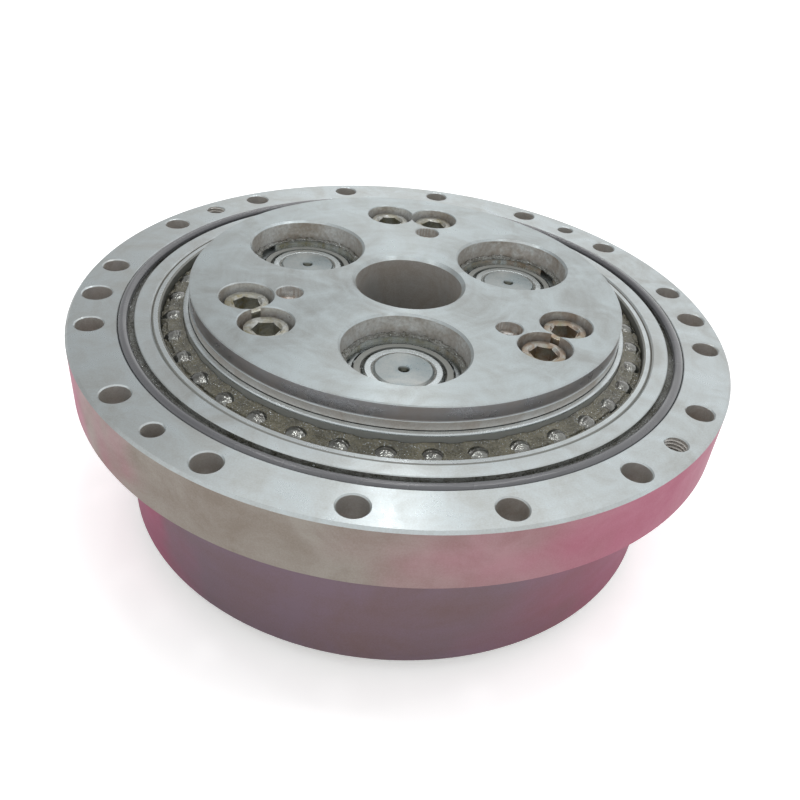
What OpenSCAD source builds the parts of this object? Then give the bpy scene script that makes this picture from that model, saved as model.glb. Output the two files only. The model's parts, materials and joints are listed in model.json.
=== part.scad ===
// Two-stage cycloidal reducer with three crankshafts, for a robot's joint.
// It stands on its output face, with the input side up. Lengths are in millimetres.

/* [Case] */
// Outside diameter of the mounting flange
flange_d = 280; // [276:1:300]
// Thickness of the mounting flange
flange_t = 26; // [20:1:34]
// Diameter of the barrel under the flange, which locates the case
barrel_d = 243; // [236:1:246]
// Height of the case from its end to the flange face
case_h = 87.5; // [86:0.5:100]
// Chamfer on the turned edges of the case
case_chamfer = 1; // [0.4:0.1:2]

/* [Flange holes] */
// Diameter of the circle that all the flange holes lie on
hole_circle_d = 262; // [260:0.5:264]
// Number of through bolt holes
bolt_count = 16; // [16:2:20]
// Diameter of a bolt hole, clear for an M10 bolt
bolt_hole_d = 11; // [10:0.25:11.5]
// Diameter of the two locating holes
locating_hole_d = 12; // [11.75:0.25:13]
// Diameter of the two dowel holes
dowel_hole_d = 8; // [6:0.5:9]
// Wall diameter of the two tapped jacking holes, M10
jack_hole_d = 8.5; // [8.4:0.1:9]
// Chamfer at the mouth of each flange hole
hole_chamfer = 0.4; // [0.1:0.1:0.5]

/* [Flange seal] */
// Outside diameter of the ring groove in the flange face
groove_d = 241.2; // [238:0.2:246]
// Width of the ring groove
groove_w = 6.5; // [5.5:0.1:7]
// Depth of the ring groove
groove_depth = 3.2; // [2.8:0.1:4]
// Thickness of the O-ring's cord
cord_d = 4; // [3.2:0.1:4.4]

/* [Main bearings] */
// Diameter of a main bearing ball
ball_d = 12.7; // [12:0.1:13.2]
// Number of balls in each main bearing
ball_count = 38; // [32:1:40]
// Angle of the first ball in each main bearing
ball_start = -1.4; // [-4:0.1:4]
// Diameter of the circle through the ball centres
ball_circle_d = 197; // [196:0.5:198]
// Outside diameter of the outer races
outer_race_d = 215; // [214.5:0.1:216]
// Bore diameter of the inner races
inner_race_bore_d = 176; // [174:0.5:178]
// Outside diameter of the inner races' high shoulder
inner_shoulder_d = 189.4; // [187.5:0.1:190]
// Length of an outer race
race_w = 17.5; // [17:0.1:18.5]
// Height from an outer race's inner end to the ball centres
race_offset = 10; // [9.5:0.1:10.5]
// Running clearance between a ball and its tracks
ball_gap = 0.04; // [0.03:0.01:0.08]

/* [Reduction gear] */
// Number of ring pins, which is also the crank turns for one output turn
pin_count = 40; // [36:2:40]
// Diameter of the circle through the ring pins
pin_circle_d = 206; // [205:0.5:206.5]
// Diameter of a ring pin
pin_d = 8; // [7:0.1:8.2]
// Distance from a crankshaft's axis to its eccentric's centre
eccentricity = 2; // [1.6:0.05:2.1]
// Thickness of a cycloid disc
disc_t = 18; // [16:0.5:20]
// Gap between the two discs
disc_gap = 2; // [1.5:0.1:3]
// Play between a lobe and a ring pin
mesh_gap = 0.2; // [0.18:0.01:0.3]
// Diameter of the centre hole in a disc
disc_bore_d = 52; // [50:0.5:56]

/* [Carrier] */
// Diameter of the hold flange's lip
lip_d = 183.6; // [180:0.1:184]
// Height of the lip
lip_h = 6.3; // [4:0.1:8]
// Diameter of the hold flange between its lip and the inner race
plate_d = 184.6; // [184.2:0.1:187]
// Height of the hold flange's top above the flange face
plate_rise = 12.5; // [11:0.1:16]
// Height of the inner race's top above the flange face
race_rise = 2.5; // [1.5:0.1:3.5]
// Diameter of the centre bore for the input pinion's shaft
centre_bore_d = 46; // [42:0.5:48]
// Diameter of the circle through the crankshaft axes
crank_circle_d = 108; // [107:0.5:109]
// Diameter of the output shaft where the seal runs
shaft_land_d = 192; // [191:0.5:193]
// Height of the output shaft below the case
shaft_lip = 8; // [7:0.5:10]
// Gap between the discs and the carrier's faces
carrier_gap = 2; // [1.5:0.1:2.5]
// Half angle of a carrier post
post_angle = 22; // [20:0.5:24]
// Inside radius of a carrier post
post_inner_r = 42; // [41.5:0.1:43]
// Outside radius of a carrier post
post_outer_r = 85; // [83:0.5:86]
// Clearance between a post and its window in the discs, at rest
window_gap = 3.5; // [3.2:0.1:4]

/* [Crankshafts] */
// Diameter of a crankshaft in its bearings
journal_d = 24; // [23:0.1:24.5]
// Diameter of the collars beside the eccentrics
collar_d = 28; // [27:0.1:28.4]
// Diameter of an eccentric
eccentric_d = 33; // [32.4:0.1:33.4]
// Diameter of the gear seat
gear_seat_d = 22; // [20:0.1:22.4]
// Depth of the crankshaft's top face below the hold flange's top
crank_drop = 10; // [8:0.1:11]
// Diameter of the centre drilling in a crankshaft's end
centre_drill_d = 2.6; // [2:0.1:4]
// Diameter of the centre drilling's countersink
centre_sink_d = 4.7; // [4.2:0.1:6]
// Diameter of a needle roller
needle_d = 5; // [4.8:0.05:5.1]
// Number of needle rollers round an eccentric
needle_count = 18; // [14:1:18]

/* [Crankshaft bearings] */
// Outside diameter of a tapered bearing's cup
cup_d = 50; // [49.5:0.1:51]
// Width of a cup
cup_w = 13.5; // [13:0.1:14]
// Diameter of the circle through the roller middles
roller_circle_d = 38.6; // [38.2:0.1:39]
// Middle diameter of a tapered roller
roller_d = 5.2; // [4.9:0.05:5.4]
// Length of a tapered roller
roller_len = 10.5; // [9:0.1:11]
// Number of rollers in a tapered bearing
roller_count = 17; // [13:1:18]
// Angle between a roller and the crankshaft
roller_angle = 12; // [11:0.25:13]

/* [Spur gears] */
// Gear module
gear_module = 2; // [1.95:0.05:2]
// Teeth on a spur gear
gear_teeth = 36; // [34:1:36]
// Face width of a spur gear
gear_w = 9.5; // [8:0.1:10]
// Room between a gear's teeth and its chamber
chamber_gap = 1; // [0.6:0.1:1.2]

/* [Fastenings] */
// Thread diameter of a carrier screw, M12
screw_d = 12; // [10:0.5:12]
// Circle radius of the carrier screws
screw_circle_r = 70; // [69:0.5:71]
// Angle of each screw from the middle of its post
screw_angle = 8.9; // [8.6:0.1:9.2]
// Diameter of a screw head's counterbore
counterbore_d = 22; // [20:0.1:22.4]
// Depth of a screw head below the hold flange's top
head_recess = 3; // [2:0.1:4]
// Diameter of a carrier locating pin
pin_hole_d = 11; // [8:0.1:11.6]
// Circle radius of the locating pins
locating_pin_r = 52.5; // [51:0.1:53.4]
// Angle of the locating pin from the middle of its post
locating_pin_angle = -8.3; // [-9:0.1:-7.5]
// Diameter of the circle through the output bolt holes
output_circle_d = 172; // [170:0.5:173]
// Wall diameter of the six tapped output holes, M10
output_hole_d = 8.5; // [8:0.1:8.8]
// Diameter of the three output dowel holes
output_dowel_d = 10; // [9.2:0.1:10.5]
// Wall diameter of the three tapped inner output holes, M12
inner_output_hole_d = 10.2; // [10:0.1:11]
// Depth of the output holes
output_hole_depth = 16; // [12:0.5:17]

/* [Hidden] */
$fn = 96;
// A hair's breadth by which a cutter passes the face that it cuts
over = 0.5;

// Angles of the crankshafts and of the carrier posts
crank_angles = [36, 156, 276];
post_angles = [96, 216, 336];

// Heights, from the output face up
case_bottom = shaft_lip;
face_z = shaft_lip + case_h;
top_z = face_z + plate_rise;
race_seat_depth = race_w + 0.5;
pins_top = face_z - race_seat_depth;
end_play = 1;
pins_len = 2 * disc_t + disc_gap + 2 * end_play;
pins_bottom = pins_top - pins_len;
upper_ball_z = pins_top + race_offset;
lower_ball_z = pins_bottom - race_offset;
mid_z = (pins_top + pins_bottom) / 2;
plate_bottom = pins_top - end_play + carrier_gap;
shaft_top = pins_bottom + end_play - carrier_gap;
disc_zs = [mid_z + disc_gap / 2, mid_z - disc_gap / 2 - disc_t];

// Places of the extra flange holes, in bolt hole steps; each has its pair opposite
locating_step = 0.5;
dowel_step = 2.5;
jack_step = 6.5;

// Main bearing races
race_chamfer = 0.5;
low_shoulder = 0.8;
high_shoulder = 2.6;
track_r = ball_d / 2 + ball_gap;
ball_r_pos = ball_circle_d / 2;
outer_low_r = ball_r_pos + track_r - low_shoulder;
outer_high_r = ball_r_pos + track_r - high_shoulder;
inner_low_r = ball_r_pos - track_r + low_shoulder;
inner_reach = 6;
lower_race_reach = 9;
land_z = lower_ball_z - lower_race_reach;
cage_inward = 2;
cage_outward = 3;
cage_rim = 1.8;
cage_reach = 5.2;
cage_gap = 0.15;

// Output seal
seal_w = 8;
seal_recess = 0.5;
seal_step = 2.5;
seal_r = outer_race_d / 2 + seal_step;
seal_gap = 0.08;

// Crankshafts
crank_r_pos = crank_circle_d / 2;
crank_top = top_z - crank_drop;
crank_bottom = 2;
crank_chamfer = 0.8;
centre_drill_depth = 5;
centre_sink_angle = 30;
needle_gap = 0.05;
crank_hole_d = eccentric_d + 2 * needle_d + 2 * needle_gap;
needle_circle_r = (eccentric_d + needle_d) / 2;
needle_r = needle_d / 2 - 0.01;
needle_rim = 1.3;
needle_end_play = 0.3;
needle_cage_wall = 1.2;

// Crankshaft bearings, measured from the middle of the cup
cup_inset = 5;
bearing_mid = plate_bottom - mid_z + cup_inset + cup_w / 2;
half_cone = atan(roller_d / 2 * sin(roller_angle) / (roller_circle_d / 2));
apex_h = roller_circle_d / 2 / tan(roller_angle);
roller_middle = roller_circle_d / 2 / sin(roller_angle);
roller_play = 0.03;
cone_chamfer = 0.9;
cone_top = cup_w / 2 + 0.7;
cone_bottom = -cup_w / 2 - 1;
rib_from = roller_len / 2 + 0.8;
rib_rise = 2.2;
small_rib_rise = 0.5;
taper_cage_wall = 1;
taper_cage_flange = 0.8;
taper_cage_top = cup_w / 2 + 0.4;
taper_cage_bottom = -roller_len / 2 - 1.3;
taper_cage_inset = 1.9;
taper_cage_outward = 1.1;
circlip_t = 2;
circlip_depth = 1;
circlip_reach = 2;
circlip_gap_angle = 24;

// Gear chamber in the output shaft, and the spur gears in it
pressure_angle = 20;
gear_tip_r = gear_module * (gear_teeth + 2) / 2;
chamber_r = gear_tip_r + chamber_gap;
chamber_core_r = 32;
chamber_core_rise = 2;
chamber_wall = 3.5;
chamber_top = land_z - chamber_wall;
gear_top = chamber_top - 0.5;
gear_bottom = gear_top - gear_w;
gear_web_depth = 1.5;
gear_rim = 4;
gear_hub_r = 17;
crank_way_r = 21;
gear_clip_t = 1.8;
gear_clip_depth = 1;

// Output bolt holes, which lie between the gear chamber's lobes
output_bolt_count = 6;
output_bolt_start = crank_angles[0] + 180 / output_bolt_count;

// Carrier screws and pins
head_d = 1.5 * screw_d;
head_h = screw_d;
hex_af = 10;
hex_depth = 6;
screw_clear = 0.5;
thread_len = 21;
thread_room = 3;
pin_len = 42;
pin_recess = 4;

// ---- helpers ----

// A turned ring from a list of [radius, height] points
module turned(points) {
    rotate_extrude() polygon(points);
}

// A plain ring between two radii and two heights
module ring(inner, outer, low, high) {
    turned([[inner, low], [outer, low], [outer, high], [inner, high]]);
}

// A cylinder between two heights
module rod(r, low, high) {
    translate([0, 0, low]) cylinder(r = r, h = high - low);
}

// Copies at equal steps round the axis
module around(count, radius, start = 0) {
    for (i = [0 : count - 1]) {
        rotate([0, 0, start + i * 360 / count]) translate([radius, 0, 0]) children();
    }
}

// A copy at each crankshaft's axis, not turned
module at_crank(n) {
    rotate([0, 0, crank_angles[n - 1]]) translate([crank_r_pos, 0, 0])
        rotate([0, 0, -crank_angles[n - 1]]) children();
}

module at_cranks() {
    for (n = [1 : len(crank_angles)]) {
        at_crank(n) children();
    }
}

// The upper crankshaft bearing's place, with the rollers' small ends up
module at_upper_bearing() {
    translate([0, 0, mid_z + bearing_mid]) children();
}

// The lower crankshaft bearing's place, a mirror image of the upper one
module at_lower_bearing() {
    translate([0, 0, mid_z - bearing_mid]) mirror([0, 0, 1]) children();
}

// ---- case and what stays with it ----

// A flange hole with a chamfered mouth, at a number of hole pitches round the circle
module flange_hole(d, pitches) {
    rotate([0, 0, pitches * 360 / bolt_count]) translate([hole_circle_d / 2, 0, 0]) {
        rod(d / 2, face_z - flange_t - over, face_z + over);
        translate([0, 0, face_z - hole_chamfer])
            cylinder(r1 = d / 2, r2 = d / 2 + hole_chamfer + over, h = hole_chamfer + over);
    }
}

// The extra holes lie half a pitch from their neighbours, in opposite pairs
module flange_hole_pair(d, pitches) {
    flange_hole(d, pitches);
    flange_hole(d, pitches + bolt_count / 2);
}

module case() {
    race_r = outer_race_d / 2;
    lobe_room = 0.4;
    ring_r = pin_circle_d / 2 + lobe_room;
    c = case_chamfer;
    underside = face_z - flange_t;
    seal_top = case_bottom + seal_recess + seal_w;
    color("lightsteelblue") difference() {
        turned([
            [seal_r, case_bottom], [seal_r, seal_top], [race_r, seal_top],
            [race_r, pins_bottom], [ring_r, pins_bottom], [ring_r, pins_top],
            [race_r, pins_top], [race_r, face_z - race_chamfer], [race_r + race_chamfer, face_z],
            [flange_d / 2 - c, face_z], [flange_d / 2, face_z - c],
            [flange_d / 2, underside + c], [flange_d / 2 - c, underside],
            [barrel_d / 2, underside], [barrel_d / 2, case_bottom + c],
            [barrel_d / 2 - c, case_bottom]
        ]);
        around(pin_count, pin_circle_d / 2) rod(pin_d / 2, pins_bottom, pins_top);
        ring(groove_d / 2 - groove_w, groove_d / 2, face_z - groove_depth, face_z + over);
        for (i = [0 : bolt_count - 1]) {
            flange_hole(bolt_hole_d, i);
        }
        flange_hole_pair(locating_hole_d, locating_step);
        flange_hole_pair(dowel_hole_d, dowel_step);
        flange_hole_pair(jack_hole_d, jack_step);
    }
}

module ring_pins() {
    pin_end = 0.1;
    color("silver") around(pin_count, pin_circle_d / 2)
        rod(pin_d / 2, pins_bottom + pin_end, pins_top - pin_end);
}

// An outer race, with its inner end at height 0 and its balls above
module outer_race() {
    r = outer_race_d / 2;
    color("silver") rotate_extrude() difference() {
        polygon([
            [outer_high_r, 0], [r - race_chamfer, 0], [r, race_chamfer],
            [r, race_w - race_chamfer], [r - race_chamfer, race_w], [outer_low_r, race_w],
            [outer_low_r, race_offset], [outer_high_r, race_offset]
        ]);
        translate([ball_circle_d / 2, race_offset]) circle(r = track_r);
    }
}

module upper_outer_race() {
    translate([0, 0, pins_top]) outer_race();
}

module lower_outer_race() {
    translate([0, 0, pins_bottom]) mirror([0, 0, 1]) outer_race();
}

module flange_o_ring() {
    cord_r = cord_d / 2;
    color("black") rotate_extrude()
        translate([groove_d / 2 - cord_r - 0.05, face_z - groove_depth + cord_r]) circle(r = cord_r);
}

module output_seal() {
    z = case_bottom + seal_recess;
    inner = shaft_land_d / 2 + seal_gap;
    shell = 2;
    color("dimgray") turned([
        [inner, z], [seal_r, z], [seal_r, z + seal_w], [seal_r - shell, z + seal_w],
        [seal_r - shell, z + shell], [inner + 2 * shell, z + shell],
        [inner + 2 * shell, z + seal_w - 1], [inner + shell, z + seal_w - 1]
    ]);
}

// ---- carrier ----

// A carrier post seen from above, or its window when it grows by a clearance
module post_outline(grow) {
    reach = 2 * post_outer_r;
    intersection() {
        difference() {
            circle(r = post_outer_r + grow);
            circle(r = post_inner_r - grow);
        }
        polygon([
            [-grow / sin(post_angle), 0],
            [reach, (reach + grow / sin(post_angle)) * tan(post_angle)],
            [reach, -(reach + grow / sin(post_angle)) * tan(post_angle)]
        ]);
    }
}

module at_posts() {
    for (a = post_angles) {
        rotate([0, 0, a]) children();
    }
}

module at_screws() {
    at_posts() for (side = [-1, 1]) {
        rotate([0, 0, side * screw_angle]) translate([screw_circle_r, 0, 0]) children();
    }
}

module at_carrier_pins() {
    at_posts() rotate([0, 0, locating_pin_angle]) translate([locating_pin_r, 0, 0]) children();
}

module hold_flange() {
    rim = 0.5;
    bore_chamfer = 1.5;
    seat_r = inner_race_bore_d / 2;
    bore_r = centre_bore_d / 2;
    clip_z = mid_z + bearing_mid + cup_w / 2;
    head_bottom = top_z - head_recess - head_h;
    color("lightsteelblue") difference() {
        turned([
            [bore_r, plate_bottom], [seat_r, plate_bottom], [seat_r, face_z + race_rise],
            [plate_d / 2, face_z + race_rise], [plate_d / 2, top_z - lip_h], [lip_d / 2, top_z - lip_h],
            [lip_d / 2, top_z - rim], [lip_d / 2 - rim, top_z],
            [bore_r + bore_chamfer, top_z], [bore_r, top_z - bore_chamfer]
        ]);
        at_cranks() {
            rod(cup_d / 2, plate_bottom - over, top_z + over);
            rod(cup_d / 2 + circlip_depth, clip_z, clip_z + circlip_t);
        }
        at_screws() {
            rod(screw_d / 2 + screw_clear, plate_bottom - over, top_z);
            rod(counterbore_d / 2, head_bottom, top_z + over);
        }
        at_carrier_pins() rod(pin_hole_d / 2, plate_bottom - over, top_z + over);
    }
}

module output_shaft() {
    rim = 1;
    seat_r = inner_race_bore_d / 2;
    bore_r = centre_bore_d / 2;
    cup_bottom = mid_z - bearing_mid - cup_w / 2;
    screw_bottom = top_z - head_recess - head_h - (plate_len() + thread_len) - thread_room;
    color("slategray") difference() {
        union() {
            turned([
                [bore_r, 0], [shaft_land_d / 2 - rim, 0], [shaft_land_d / 2, rim],
                [shaft_land_d / 2, land_z], [seat_r, land_z], [seat_r, shaft_top], [bore_r, shaft_top]
            ]);
            at_posts() translate([0, 0, shaft_top - over])
                linear_extrude(plate_bottom - shaft_top + over) post_outline(0);
        }
        rod(chamber_core_r, -over, chamber_top + chamber_core_rise);
        at_cranks() {
            rod(chamber_r, -over, chamber_top);
            rod(crank_way_r, chamber_top - over, cup_bottom + over);
            rod(cup_d / 2, cup_bottom, shaft_top + over);
        }
        at_screws() rod(screw_d / 2, screw_bottom, plate_bottom + over);
        at_carrier_pins() rod(pin_hole_d / 2, top_z - pin_recess - pin_len, plate_bottom + over);
        around(output_bolt_count, output_circle_d / 2, output_bolt_start)
            rod(output_hole_d / 2, -over, output_hole_depth);
        at_posts() translate([output_circle_d / 2, 0, 0])
            rod(output_dowel_d / 2, -over, output_hole_depth);
        at_posts() translate([screw_circle_r, 0, 0])
            rod(inner_output_hole_d / 2, -over, output_hole_depth);
    }
}

// Thickness of the hold flange under a screw's head
function plate_len() = top_z - head_recess - head_h - plate_bottom;

module carrier_screws() {
    head_bottom = top_z - head_recess - head_h;
    head_top = head_bottom + head_h;
    head_chamfer = 0.8;
    color("dimgray") at_screws() difference() {
        turned([
            [0, head_bottom - plate_len() - thread_len],
            [screw_d / 2 - 1, head_bottom - plate_len() - thread_len],
            [screw_d / 2, head_bottom - plate_len() - thread_len + 1],
            [screw_d / 2, head_bottom], [head_d / 2, head_bottom],
            [head_d / 2, head_top - head_chamfer], [head_d / 2 - head_chamfer, head_top],
            [0, head_top]
        ]);
        translate([0, 0, head_top - hex_depth])
            cylinder(d = hex_af / cos(30), h = hex_depth + over, $fn = 6);
    }
}

module carrier_pins() {
    tapped_r = 2.5;
    tapped_depth = 10;
    pin_top = top_z - pin_recess;
    color("gray") at_carrier_pins() difference() {
        rod(pin_hole_d / 2, pin_top - pin_len, pin_top);
        rod(tapped_r, pin_top - tapped_depth, pin_top + over);
    }
}

// An inner race about its balls' height, with the high shoulder up
module inner_race(low, high) {
    bore = inner_race_bore_d / 2;
    high_r = inner_shoulder_d / 2;
    color("silver") rotate_extrude() difference() {
        polygon([
            [bore, low], [inner_low_r - race_chamfer, low], [inner_low_r, low + race_chamfer],
            [inner_low_r, 0], [high_r, 0], [high_r, high - race_chamfer],
            [high_r - race_chamfer, high], [bore, high]
        ]);
        translate([ball_circle_d / 2, 0]) circle(r = track_r);
    }
}

module upper_inner_race() {
    translate([0, 0, upper_ball_z]) inner_race(-inner_reach, face_z + race_rise - upper_ball_z);
}

module lower_inner_race() {
    translate([0, 0, lower_ball_z]) mirror([0, 0, 1]) inner_race(-inner_reach, lower_race_reach);
}

// A bearing cup about its middle, with the wide end of its cone down
module cup() {
    half = cup_w / 2;
    slope = tan(roller_angle + half_cone);
    color("silver") turned([
        [(apex_h + half) * slope, -half], [cup_d / 2, -half], [cup_d / 2, half],
        [(apex_h - half) * slope, half]
    ]);
}

module upper_cups() {
    at_cranks() at_upper_bearing() cup();
}

module lower_cups() {
    at_cranks() at_lower_bearing() cup();
}

module cup_circlips() {
    z = cup_w / 2;
    inner = cup_d / 2 - circlip_reach;
    outer = cup_d / 2 + circlip_depth;
    color("dimgray") for (a = crank_angles) {
        rotate([0, 0, a]) translate([crank_r_pos, 0, 0]) at_upper_bearing()
            rotate([0, 0, circlip_gap_angle / 2]) rotate_extrude(angle = 360 - circlip_gap_angle)
                translate([inner, z]) square([outer - inner, circlip_t]);
    }
}

// ---- main bearing balls and cages ----

module ball_set(z) {
    color("gainsboro") around(ball_count, ball_circle_d / 2, ball_start) translate([0, 0, z])
        sphere(d = ball_d);
}

// A crown cage about its balls' height, open at the top
module ball_cage(z) {
    pocket_r = ball_d / 2 + cage_gap;
    color("dimgray") difference() {
        translate([0, 0, z]) ring(
            ball_circle_d / 2 - cage_inward, ball_circle_d / 2 + cage_outward,
            -pocket_r - cage_rim, cage_reach
        );
        around(ball_count, ball_circle_d / 2, ball_start) translate([0, 0, z]) sphere(r = pocket_r);
    }
}

module upper_balls() {
    ball_set(upper_ball_z);
}

module upper_ball_cage() {
    ball_cage(upper_ball_z);
}

module lower_balls() {
    ball_set(lower_ball_z);
}

module lower_ball_cage() {
    translate([0, 0, 2 * lower_ball_z]) mirror([0, 0, 1]) ball_cage(lower_ball_z);
}

// ---- cycloidal discs ----

// A point of the lobed outline that rolls inside the ring pins, at an angle about the disc's centre
function lobe_point(a) =
    let (
        r = pin_d / 2 + mesh_gap,
        big = pin_circle_d / 2,
        n = pin_count,
        psi = atan2(sin((1 - n) * a), big / (eccentricity * n) - cos((1 - n) * a))
    ) [
        big * cos(a) - r * cos(a + psi) - eccentricity * cos(n * a),
        -big * sin(a) + r * sin(a + psi) + eccentricity * sin(n * a)
    ];

// The outline's angles, closest together in each valley, where its direction changes fastest
function lobe_angles(lobes, points) = [
    for (lobe = [0 : lobes - 1])
        for (i = [0 : points - 1])
            let (s = 2 * i / points - 1) (lobe + sign(s) * pow(abs(s), 2.3) / 2) * 360 / lobes
];

// A disc whose centre lies at an eccentricity along X, to the right for side 1 and the left for -1
module disc(z, side) {
    points_per_lobe = 14;
    color("silver") translate([side * eccentricity, 0, z]) linear_extrude(disc_t) difference() {
        rotate([0, 0, side > 0 ? 0 : 180])
            polygon([for (a = lobe_angles(pin_count - 1, points_per_lobe)) lobe_point(a)]);
        circle(d = disc_bore_d);
        at_cranks() circle(d = crank_hole_d);
        at_posts() post_outline(window_gap);
    }
}

module upper_disc() {
    disc(disc_zs[0], 1);
}

module lower_disc() {
    disc(disc_zs[1], -1);
}

// ---- crankshafts, each with its gear and bearings ----

module crankshaft(n) {
    journal = journal_d / 2;
    drill_z = crank_top - centre_drill_depth;
    sink_depth = (centre_sink_d - centre_drill_d) / 2 / tan(centre_sink_angle);
    cone_z = bearing_mid + cone_bottom;
    clip_top = gear_bottom;
    color("silver") at_crank(n) difference() {
        union() {
            turned([
                [0, crank_bottom], [gear_seat_d / 2 - crank_chamfer, crank_bottom],
                [gear_seat_d / 2, crank_bottom + crank_chamfer], [gear_seat_d / 2, gear_top],
                [journal, gear_top], [journal, mid_z - cone_z], [collar_d / 2, mid_z - cone_z],
                [collar_d / 2, mid_z + cone_z], [journal, mid_z + cone_z],
                [journal, crank_top - crank_chamfer], [journal - crank_chamfer, crank_top],
                [0, crank_top]
            ]);
            translate([eccentricity, 0, 0]) rod(eccentric_d / 2, disc_zs[0], disc_zs[0] + disc_t);
            translate([-eccentricity, 0, 0]) rod(eccentric_d / 2, disc_zs[1], disc_zs[1] + disc_t);
        }
        rod(centre_drill_d / 2, drill_z, crank_top + over);
        translate([0, 0, crank_top - sink_depth])
            cylinder(r1 = centre_drill_d / 2, r2 = centre_sink_d / 2 + over * tan(centre_sink_angle),
                h = sink_depth + over);
        ring(gear_seat_d / 2 - gear_clip_depth, gear_seat_d / 2 + over, clip_top - gear_clip_t, clip_top);
    }
}

// Polar angle that an involute has gained at a radius, from its base circle
function involute_gain(base, r) =
    let (roll = sqrt(max(0, r * r / (base * base) - 1))) roll * 180 / PI - atan(roll);

// Half of a tooth's thickness, as an angle, at a radius
function tooth_half_angle(r) =
    let (
        pitch_r = gear_module * gear_teeth / 2,
        base = pitch_r * cos(pressure_angle)
    ) 90 / gear_teeth + involute_gain(base, pitch_r) - involute_gain(base, max(r, base));

module gear_outline() {
    pitch_r = gear_module * gear_teeth / 2;
    root_r = pitch_r - 1.25 * gear_module;
    flank_points = 4;
    radii = [for (i = [0 : flank_points]) root_r + (gear_tip_r - root_r) * i / flank_points];
    polygon([
        for (t = [0 : gear_teeth - 1])
            for (side = [-1, 1])
                for (i = [0 : flank_points])
                    let (
                        r = radii[side < 0 ? i : flank_points - i],
                        a = t * 360 / gear_teeth + side * tooth_half_angle(r)
                    ) [r * cos(a), r * sin(a)]
    ]);
}

module spur_gear(n) {
    web_outer = gear_module * gear_teeth / 2 - 1.25 * gear_module - gear_rim;
    color("silver") at_crank(n) difference() {
        translate([0, 0, gear_bottom]) linear_extrude(gear_w) gear_outline();
        rod(gear_seat_d / 2, gear_bottom - over, gear_top + over);
        ring(gear_hub_r, web_outer, gear_bottom - over, gear_bottom + gear_web_depth);
        ring(gear_hub_r, web_outer, gear_top - gear_web_depth, gear_top + over);
    }
}

module gear_circlip(n) {
    inner = gear_seat_d / 2 - gear_clip_depth;
    outer = gear_seat_d / 2 + circlip_reach;
    color("dimgray") at_crank(n) rotate([0, 0, crank_angles[n - 1] + circlip_gap_angle / 2])
        rotate_extrude(angle = 360 - circlip_gap_angle)
            translate([inner, gear_bottom - gear_clip_t]) square([outer - inner, gear_clip_t]);
}

// Radius of the cone's track at a height from the bearing's middle
function cone_track_r(z) = (apex_h - z) * tan(roller_angle - half_cone);

module bearing_cone() {
    bore = journal_d / 2;
    color("silver") turned([
        [bore, cone_bottom], [cone_track_r(-rib_from) + rib_rise, cone_bottom],
        [cone_track_r(-rib_from) + rib_rise, -rib_from], [cone_track_r(-rib_from), -rib_from],
        [cone_track_r(rib_from), rib_from], [cone_track_r(rib_from) + small_rib_rise, rib_from],
        [cone_track_r(rib_from) + small_rib_rise, cone_top - cone_chamfer],
        [cone_track_r(rib_from) + small_rib_rise - cone_chamfer, cone_top],
        [bore + cone_chamfer, cone_top], [bore, cone_top - cone_chamfer]
    ]);
}

module bearing_cones(n) {
    at_crank(n) {
        at_upper_bearing() bearing_cone();
        at_lower_bearing() bearing_cone();
    }
}

// One tapered roller on its slanted axis, longer and thicker by a clearance
module taper_roller(grow) {
    from = roller_middle - roller_len / 2 - grow;
    to = roller_middle + roller_len / 2 + grow;
    translate([0, 0, apex_h]) rotate([0, 180 - roller_angle, 0]) translate([0, 0, from])
        cylinder(r1 = from * tan(half_cone) - roller_play + grow,
            r2 = to * tan(half_cone) - roller_play + grow, h = to - from);
}

module taper_roller_ring(grow) {
    for (i = [0 : roller_count - 1]) {
        rotate([0, 0, i * 360 / roller_count]) taper_roller(grow);
    }
}

module taper_rollers(n) {
    color("silver") at_crank(n) {
        at_upper_bearing() taper_roller_ring(0);
        at_lower_bearing() taper_roller_ring(0);
    }
}

// The cage's middle radius at a height from the bearing's middle
function taper_cage_r(z) = (apex_h - z) * tan(roller_angle) + taper_cage_outward;

module taper_cage() {
    half = taper_cage_wall / 2;
    top = taper_cage_top;
    low = taper_cage_bottom;
    color("darkgray") difference() {
        turned([
            [taper_cage_r(low) - half, low], [taper_cage_r(low) + half, low],
            [taper_cage_r(top) + half, top], [taper_cage_r(top) - taper_cage_inset, top],
            [taper_cage_r(top) - taper_cage_inset, top - taper_cage_flange],
            [taper_cage_r(top - taper_cage_flange) - half, top - taper_cage_flange]
        ]);
        taper_roller_ring(cage_gap);
    }
}

module taper_cages(n) {
    at_crank(n) {
        at_upper_bearing() taper_cage();
        at_lower_bearing() taper_cage();
    }
}

// The two eccentrics' centres, at the bottom of each disc
module at_eccentrics(n) {
    at_crank(n) {
        translate([eccentricity, 0, disc_zs[0]]) children();
        translate([-eccentricity, 0, disc_zs[1]]) children();
    }
}

module needle_ring(r, inset) {
    around(needle_count, needle_circle_r) rod(r, inset, disc_t - inset);
}

module needle_rollers(n) {
    color("silver") at_eccentrics(n) needle_ring(needle_r, needle_end_play + needle_rim + cage_gap);
}

module needle_cages(n) {
    half = needle_cage_wall;
    color("darkgray") at_eccentrics(n) difference() {
        ring(needle_circle_r - half, needle_circle_r + half, needle_end_play, disc_t - needle_end_play);
        needle_ring(needle_d / 2 + cage_gap, needle_end_play + needle_rim);
    }
}

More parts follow.
